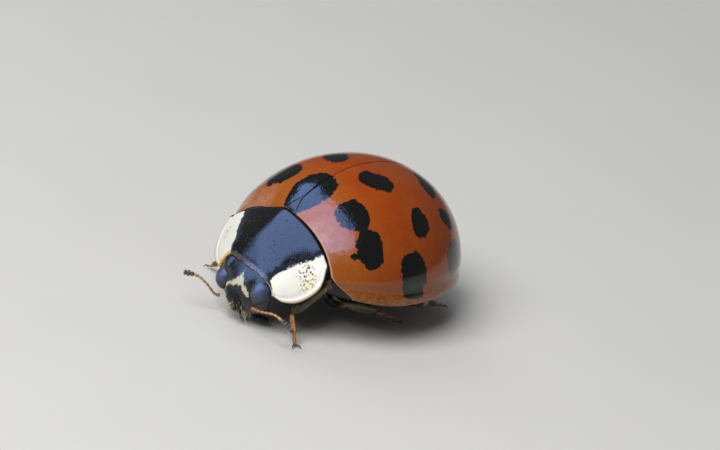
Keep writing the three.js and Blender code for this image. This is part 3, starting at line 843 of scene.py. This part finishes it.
stalk_material = feeler_finish("feeler stalk", (0.36, 0.13, 0.05), (0.48, 0.28, 0.09))
club_material = feeler_finish("feeler club", (0.05, 0.045, 0.04), (0.08, 0.08, 0.085))
for side, points in FEELERS.items():
    curve = lambda share: on_curve(points, share)
    for name, cad_node, joints, material, slot in (
        ("feeler_", "antenna_", FEELER_JOINTS[:CLUB_START], stalk_material, "feeler"),
        ("feeler_club_", "antenna_club_", FEELER_JOINTS[CLUB_START:], club_material, "feeler_club"),
    ):
        bm = bmesh.new()
        along_layer = point_numbers(bm, "along")
        start = 0.0 if name == "feeler_" else FEELER_JOINTS[CLUB_START - 1][0]
        for end, radius in joints:
            piece_path = lambda t, a=max(0, start - 0.008), b=end: curve(a + (b - a) * t)
            swelling = lambda t, r=radius: r * (0.5 + 0.5 * sin(pi * min(1, 0.1 + 0.7 * t)))
            for vert in spindle(bm, piece_path, swelling, 16, 12, 5.0):
                vert[along_layer] = (end, 0, 0)
            start = end
        finish_piece(bm, name + side, material, [cad_node + side])

# ---- trunk ----
# The three soft-jointed lengths of the body under the shells: front thorax, hind thorax
# and the ringed abdomen. Their undersides are black with brown edges.

TRUNK_SHARE = 0.775  # the trunk fills this share of the dome
TRUNK_REAR = 0.56
WAIST = -0.33
RINGS = [0.25, 0.85, 1.4, 1.85, 2.2]  # where one plate of the abdomen ends and the next starts
RING_GROOVE = 0.03  # depth and half width of the groove there
BELLY_EDGE = 0.12  # the belly starts this far under the rim
BELLY_DEPTH = 0.34  # and bulges by this much more
FRONT_THORAX_CENTRE = Vector((0, -2.86, 0.05))
FRONT_THORAX_HALF = Vector((1.05, 0.3, 0.62))


def underside_finish():
    f = Finish("underside", IOR=1.48)
    outward = f.own("outward")[0]
    edge = f.ramp(outward, 0.62, 0.86)
    black = f.mixed(f.grain(4), (0.008, 0.007, 0.006), (0.022, 0.016, 0.012))
    brown = f.mixed(f.grain(5), (0.3, 0.11, 0.03), (0.2, 0.06, 0.016))
    f.colour(f.mixed(edge, black, brown))
    f.gloss(8, 0.28, 0.42)
    f.relief(f.maths("SUBTRACT", f.grain(18, 2.0), f.pits(9, 0.3)), 0.008)
    return f.material


def trunk_point(y, turn):
    """A point of the skin: turn runs round the body from the animal's left over the back."""
    across, up = cos(turn), sin(turn)
    length = TIP - BASE
    dome_y = BASE + (y - BASE) * length / (length - TRUNK_REAR)
    taper = 1 - 0.5 * max(0, (-1.2 - y) / 1.3) ** 1.5
    half = half_width_at(dome_y) * TRUNK_SHARE * taper
    rim = TRUNK_SHARE * rim_at(dome_y)
    if up >= 0:
        back = TRUNK_SHARE * crest_at(dome_y) * up
        return Vector((across * half, y, rim + back - BELLY_EDGE * (1 - up)))
    belly = BELLY_EDGE + BELLY_DEPTH * sqrt(max(0, 1 - ((y + 0.3) / 3) ** 2)) * -up
    groove = sum(RING_GROOVE * ridge(y, ring, RING_GROOVE) for ring in RINGS) if y > WAIST else 0
    step = 0.012 * smooth(y, RINGS[0] - 0.2, RINGS[0]) if y <= RINGS[0] else 0
    return Vector((across * half, y, rim - belly + groove - step))


underside_material = underside_finish()
for name, cad_node, front, rear in (
    ("hind_thorax", "thorax", BASE + 0.03, WAIST - 0.03),
    ("ringed_abdomen", "abdomen", WAIST, TIP - 0.58),
):
    bm = bmesh.new()
    outward_layer = point_numbers(bm, "outward")
    for vert in ball(bm, 64, 72):
        share = acos(max(-1, min(1, vert.co.z))) / pi
        turn = atan2(vert.co.y, vert.co.x)
        y = front + (rear - front) * share
        point = trunk_point(y, turn)
        middle = Vector((0, y, 0.1))
        closing = min(1, sin(pi * share) * 3) if share not in (0.0, 1.0) else 0
        point = middle + (point - middle) * sin(pi / 2 * closing) ** 0.7
        vert[outward_layer] = (abs(cos(turn)) * smooth(y, WAIST, WAIST + 0.2), 0, 0)
        vert.co = place(point)
    finish_piece(bm, name, underside_material, [cad_node])

bm = bmesh.new()
outward_layer = point_numbers(bm, "outward")
for vert in ball(bm, 48, 36):
    point = FRONT_THORAX_CENTRE + vert.co * FRONT_THORAX_HALF
    point.z -= 0.05 * ridge(point.x, 0, 0.1) * smooth(-vert.co.z, 0.3, 0.9)
    vert[outward_layer] = (0.5 * abs(vert.co.x), 0, 0)
    vert.co = place(point)
finish_piece(bm, "front_thorax", underside_material, ["prothorax"])

# ---- legs ----
# Six legs of stiff tubes: a ball-like coxa in its socket, a stout thigh, a slim shin
# that widens downwards, and a foot of short amber joints with two hooked claws.

SOLE = -1.25  # the floor
# The coxa, the knee, the ankle and the tip of the foot.
LEGS = {
    "front_left": ((0.5, -2.45, -0.47), (1.81, -2.3, 0.53), (1.25, -2.95, -0.54), (1.72, -3.1, -1.19)),
    "middle_left": ((0.8, -1.1, -0.6), (1.7, -1.55, -0.25), (1.55, -0.25, -0.75), (1.55, 0.6, -1.16)),
    "hind_left": ((0.55, 0.2, -0.6), (1.85, 0.95, -0.6), (1.25, 1.75, -0.9), (1.2, 2.5, -1.16)),
    "front_right": ((-0.5, -2.45, -0.47), (-2.02, -2.5, 0.25), (-2.2, -2.3, -0.75), (-2.72, -2.15, -1.16)),
    "middle_right": ((-0.8, -1.1, -0.6), (-2.0, -1.35, -0.3), (-2.25, -0.45, -0.8), (-2.55, 0.2, -1.16)),
    "hind_right": ((-0.55, 0.2, -0.6), (-1.85, 1.0, -0.5), (-1.75, 1.85, -0.85), (-2.0, 2.5, -1.16)),
}
LEGS = {leg: [Vector(point) for point in points] for leg, points in LEGS.items()}
COXA_HALF = Vector((0.3, 0.24, 0.2))
LEG_BOW = 0.1  # thigh and shin bow out by this much, halfway
CLAW_RADIUS = 0.026
# The short joints of a foot: where each starts and ends along it, and its radius.
FOOT_JOINTS = ((0.0, 0.35, 0.08), (0.28, 0.62, 0.105), (0.55, 0.68, 0.05), (0.6, 1.0, 0.05))


def leg_finish(name, dark, light, share=0.6):
    """Brown see-through chitin, darker in patches and paler along its two thin edges."""
    f = Finish(name, IOR=1.5)
    along, across, over = f.own("limb")
    patch = f.ramp(f.grain(3.2, 4.0, 0.6), share - 0.22, share + 0.12)
    colour = f.mixed(patch, dark, light)
    thin = f.ramp(f.maths("ABSOLUTE", over), 0.9, 0.99, 0, 0.8)
    golden = tuple(min(1, c * 2.2 + 0.06 * c / light[0]) for c in light)
    colour = f.mixed(thin, colour, golden)
    joint = f.ramp(f.maths("ABSOLUTE", f.maths("SUBTRACT", along, 0.5)), 0.43, 0.49, 0, 0.7)
    f.colour(f.mixed(joint, colour, dark))
    f.gloss(9, 0.16, 0.3)
    f.relief(f.maths("SUBTRACT", f.grain(22), f.pits(10, 0.25)), 0.006)
    return f.material


coxa_material = black_finish("coxa black", (0.008, 0.007, 0.006), 9, 0.006, (0.2, 0.32))
thigh_material = leg_finish("thigh", (0.01, 0.006, 0.003), (0.05, 0.024, 0.007))
shin_material = leg_finish("shin", (0.014, 0.01, 0.003), (0.085, 0.055, 0.012), 0.5)
foot_material = leg_finish("foot", (0.07, 0.024, 0.005), (0.24, 0.1, 0.014), 0.5)
claw_material = black_finish("claw", (0.02, 0.01, 0.005), 9, 0.003, (0.15, 0.25))


def thigh_radius(t):
    return 0.15 + 0.07 * sin(pi * t) - 0.02 * t


def shin_radius(t):
    return 0.11 + 0.06 * sin(pi * min(1, t * 0.75))


def above_floor(points):
    lowest = place((0, 0, SOLE)).z
    for vert in points:
        vert.co.z = max(vert.co.z, lowest)


for leg, (coxa, knee, ankle, toe) in LEGS.items():
    bm = bmesh.new()
    for vert in ball(bm, 28, 20):
        point = coxa + vert.co * COXA_HALF
        point.z -= 0.02 * ridge(vert.co.x, 0.3, 0.2)
        vert.co = place(point)
    finish_piece(bm, "hip_" + leg, coxa_material, ["coxa_" + leg])

    bm = bmesh.new()
    plane = (knee - coxa).cross(ankle - knee).normalized()
    bow = (knee - coxa).cross(plane).normalized() * LEG_BOW
    path = bent(coxa, (coxa + knee) / 2 - bow, knee)
    spindle(bm, path, thigh_radius, 24, 20, 5.0, 0.75, plane)
    finish_piece(bm, "thigh_" + leg, thigh_material, ["femur_" + leg])

    bm = bmesh.new()
    path = bent(knee, (knee + ankle) / 2 + bow, ankle)
    spindle(bm, path, shin_radius, 22, 22, 4.5, 0.85, plane)
    finish_piece(bm, "shin_" + leg, shin_material, ["tibia_" + leg])

    bm = bmesh.new()
    foot = toe - ankle
    side_way = foot.cross(UP).normalized()
    for start, end, radius in FOOT_JOINTS:
        path = straight(ankle + foot * start, ankle + foot * end)
        above_floor(spindle(bm, path, lambda t: radius * (0.68 + 0.42 * t), 16, 12, 5.0, 0.75))
    finish_piece(bm, "foot_" + leg, foot_material, ["tarsus_" + leg])

    bm = bmesh.new()
    level = Vector((foot.x, foot.y, 0)).normalized()
    for turn in (-1, 1):
        root = toe + side_way * 0.03 * turn
        reach = level * 0.13 + side_way * 0.1 * turn
        tip = Vector((root.x + reach.x, root.y + reach.y, SOLE + 0.005))
        over = root + level * 0.1 + side_way * 0.09 * turn + UP * 0.05
        above_floor(spindle(bm, bent(root, over, tip), lambda t: CLAW_RADIUS * (1.05 - t), 10, 12, 8.0))
    finish_piece(bm, "claws_" + leg, claw_material, [])

# ---- bristles ----
# Pale stiff hairs round the mouth and the roots of the feelers, and a thin cover of
# short ones down the shins and feet. Each grows from its own pore in the cuticle.

MOUTH_HAIRS = 100
FEELER_ROOT = Vector((0.6, -3.8, -0.72))
ROOT_HAIRS = 6  # round each of the two
chance = random.Random(7)


def bristle(bm, root, way, length, thickness, uv):
    """One hair that leaves its root along way and droops a little."""
    way = Vector(way).normalized()
    droop = Vector((chance.uniform(-1, 1), chance.uniform(-1, 1), chance.uniform(-1, 0.2))) * 0.25
    middle = root + way * length * 0.55
    tip = root + (way + droop).normalized() * length
    path = bent(root - way * 0.02, middle, tip)
    above_floor(spindle(bm, path, lambda t: thickness * (1.1 - t), 4, 5, 10.0, uv=uv))


f = Finish("hair", IOR=1.5, Roughness=0.35)
f.colour(f.mixed(f.grain(6, 2.0), (0.75, 0.68, 0.48), (0.5, 0.42, 0.25)))
hair_material = f.material
bm = bmesh.new()
for index in range(MOUTH_HAIRS):
    share = index / (MOUTH_HAIRS - 1)
    height = -0.5 - 0.48 * share**0.7 + chance.uniform(-0.05, 0.05)
    angle = pi * chance.uniform(0.04, 0.96)
    spread = 0.33 - 0.25 * max(0, -0.75 - height)
    x = -0.03 + cos(angle) * spread
    y = -3.66 - 0.16 * sin(angle) + 0.5 * max(0, -0.75 - height)
    way = Vector((cos(angle) + chance.uniform(-0.6, 0.6), -sin(angle), chance.uniform(-0.9, 0.1)))
    uv = (angle / pi, 1 + 0.6 * height)
    bristle(bm, Vector((x, y, height)), way, chance.uniform(0.09, 0.19) + 0.07 * share, 0.0042, uv)
for side in (1, -1):
    for index in range(ROOT_HAIRS):
        angle = 2 * pi * index / ROOT_HAIRS + chance.uniform(-0.4, 0.4)
        root = FEELER_ROOT * Vector((side, 1, 1)) + Vector((cos(angle), 0, sin(angle))) * 0.05
        way = Vector((0.5 * side + 0.5 * cos(angle), -0.6, -0.4 + 0.5 * sin(angle)))
        bristle(bm, root, way, chance.uniform(0.1, 0.2), 0.0035, (0.5 + 0.35 * side, 0.4 + 0.02 * index))
finish_piece(bm, "bristles_mouth", hair_material, [])

for leg, (coxa, knee, ankle, toe) in LEGS.items():
    bm = bmesh.new()
    # shins are unwrapped below the middle of the square, feet above it
    for first, last, radius, count, level in ((knee, ankle, 0.12, 30, 0.0), (ankle, toe, 0.07, 26, 0.5)):
        axis = (last - first).normalized()
        across = axis.cross(UP).normalized()
        over = axis.cross(across)
        for index in range(count):
            share = (index + 0.5) / count
            angle = 2.4 * index + chance.uniform(-0.3, 0.3)
            out = across * cos(angle) + over * sin(angle)
            root = first.lerp(last, 0.06 + 0.9 * share) + out * radius * 0.85
            uv = (angle / (2 * pi) % 1, level + 0.5 * share)
            bristle(bm, root, out * 0.7 + axis * 0.9, chance.uniform(0.04, 0.08), 0.004, uv)
    finish_piece(bm, "hairs_" + leg, hair_material, [])

# ---- studio ----
# A pale matt floor under soft lights, with one wide cool panel overhead that shows only
# as a reflection in the gloss. The camera looks down on the animal's left front.

FLOOR_SIZE = 1.5
f = Finish("floor", Roughness=0.9, Specular_IOR_Level=0.1)
f.colour(f.mixed(f.grain(0.2, 4.0), (0.6, 0.6, 0.585), (0.64, 0.64, 0.625)))
bm = bmesh.new()
bmesh.ops.create_grid(bm, x_segments=1, y_segments=1, size=FLOOR_SIZE)
add_mesh(bm, "floor", f.material)

LIGHT_DISTANCE = 0.05
subject = place((0, -0.3, 0.4))


def turned(name, data, axes, centre):
    """A new lamp or camera whose own axes lie along the given ones."""
    made = add_object(name, data)
    made.matrix_world = Matrix.Translation(centre) @ Matrix(axes).transposed().to_4x4()
    return made


def panel(name, centre, along, size, colour, power):
    """A flat soft light, not mirrored in the gloss. centre is in light distances from the animal;
    along is the way its width runs."""
    light = bpy.data.lights.new(name, "AREA")
    light.shape = "RECTANGLE"
    light.size = size[0] * LIGHT_DISTANCE
    light.size_y = size[1] * LIGHT_DISTANCE
    light.color = colour
    light.energy = power
    back = Vector(centre).normalized()
    width = Vector(along)
    width = (width - back * width.dot(back)).normalized()
    axes = (width, back.cross(width), back)
    lamp = turned(name, light, axes, subject + Vector(centre) * LIGHT_DISTANCE)
    lamp.visible_glossy = False


panel("key", (0.3, -1.6, 2.0), (1, 0.2, 0), (1.8, 1.6), (1.0, 0.98, 0.95), 0.205)
panel("fill", (-2.0, 0.6, 2.0), (0, 1, 0), (2.0, 2.0), (0.96, 0.98, 1.0), 0.04)

# The cool panel is flat and hangs where SKY_FACING points, one light distance away. Its
# outline is given in x and y, in light distances, from the rear left round to the front.
SKY_FACING = Vector((-0.2, -0.55, 0.81))
SKY_OUTLINE = [
    (-0.86, -0.39), (-1.0, -0.2), (-1.12, 0.06), (-1.02, 0.08), (-0.82, 0.04), (-0.6, -0.09), (-0.24, -0.13),
    (0.4, -0.17), (0.56, -0.19), (1.08, -0.31), (1.04, -0.42), (0.7, -0.53), (0.24, -0.78), (0.22, -1.0),
    (0.05, -1.1), (-0.28, -1.22), (-0.45, -1.5), (-0.98, -1.5), (-1.05, -1.2), (-0.9, -1.0), (-0.87, -0.85),
    (-0.91, -0.64), (-0.87, -0.5),
]
bm = bmesh.new()
corners = []
for x, y in SKY_OUTLINE:
    z = (1 - SKY_FACING.x * x - SKY_FACING.y * y) / SKY_FACING.z
    corners.append(bm.verts.new(subject + Vector((x, y, z)) * LIGHT_DISTANCE))
bm.faces.new(corners)
SKY_BLUE = (0.32, 0.5, 1.0, 1)
f = Finish("sky panel", Base_Color=(0, 0, 0, 1), Emission_Color=SKY_BLUE, Emission_Strength=5.5)
sky_panel = add_mesh(bm, "sky_panel", f.material)
sky_panel.visible_camera = False
sky_panel.visible_diffuse = False
sky_panel.visible_shadow = False

world = bpy.data.worlds.new("studio")
world.use_nodes = True
background = world.node_tree.nodes["Background"].inputs
background["Color"].default_value = (0.9, 0.93, 1.0, 1)
background["Strength"].default_value = 0.12
bpy.context.scene.world = world
bpy.context.scene.view_settings.view_transform = "Standard"

CAMERA_RIGHT = Vector((0.6570, 0.7282, 0.1946))
CAMERA_UP = Vector((-0.4062, 0.1239, 0.9053))
LENS = 250  # millimetres of focal length, on a sensor 36 wide
SENSOR = 36
VIEW_WIDTH = 18.42  # width of the view at the animal
AIM = CAMERA_RIGHT * 0.2745 + CAMERA_UP * 0.853
camera_back = CAMERA_RIGHT.cross(CAMERA_UP).normalized()
camera_data = bpy.data.cameras.new("camera")
camera_data.lens = LENS
camera_data.sensor_width = SENSOR
camera_data.clip_start = 0.001
camera_data.clip_end = 10
camera_distance = VIEW_WIDTH * LENS / SENSOR
camera_up = camera_back.cross(CAMERA_RIGHT)
axes = (CAMERA_RIGHT.normalized(), camera_up.normalized(), camera_back)
camera = turned("camera", camera_data, axes, place(AIM + camera_back * camera_distance))
bpy.context.scene.camera = camera
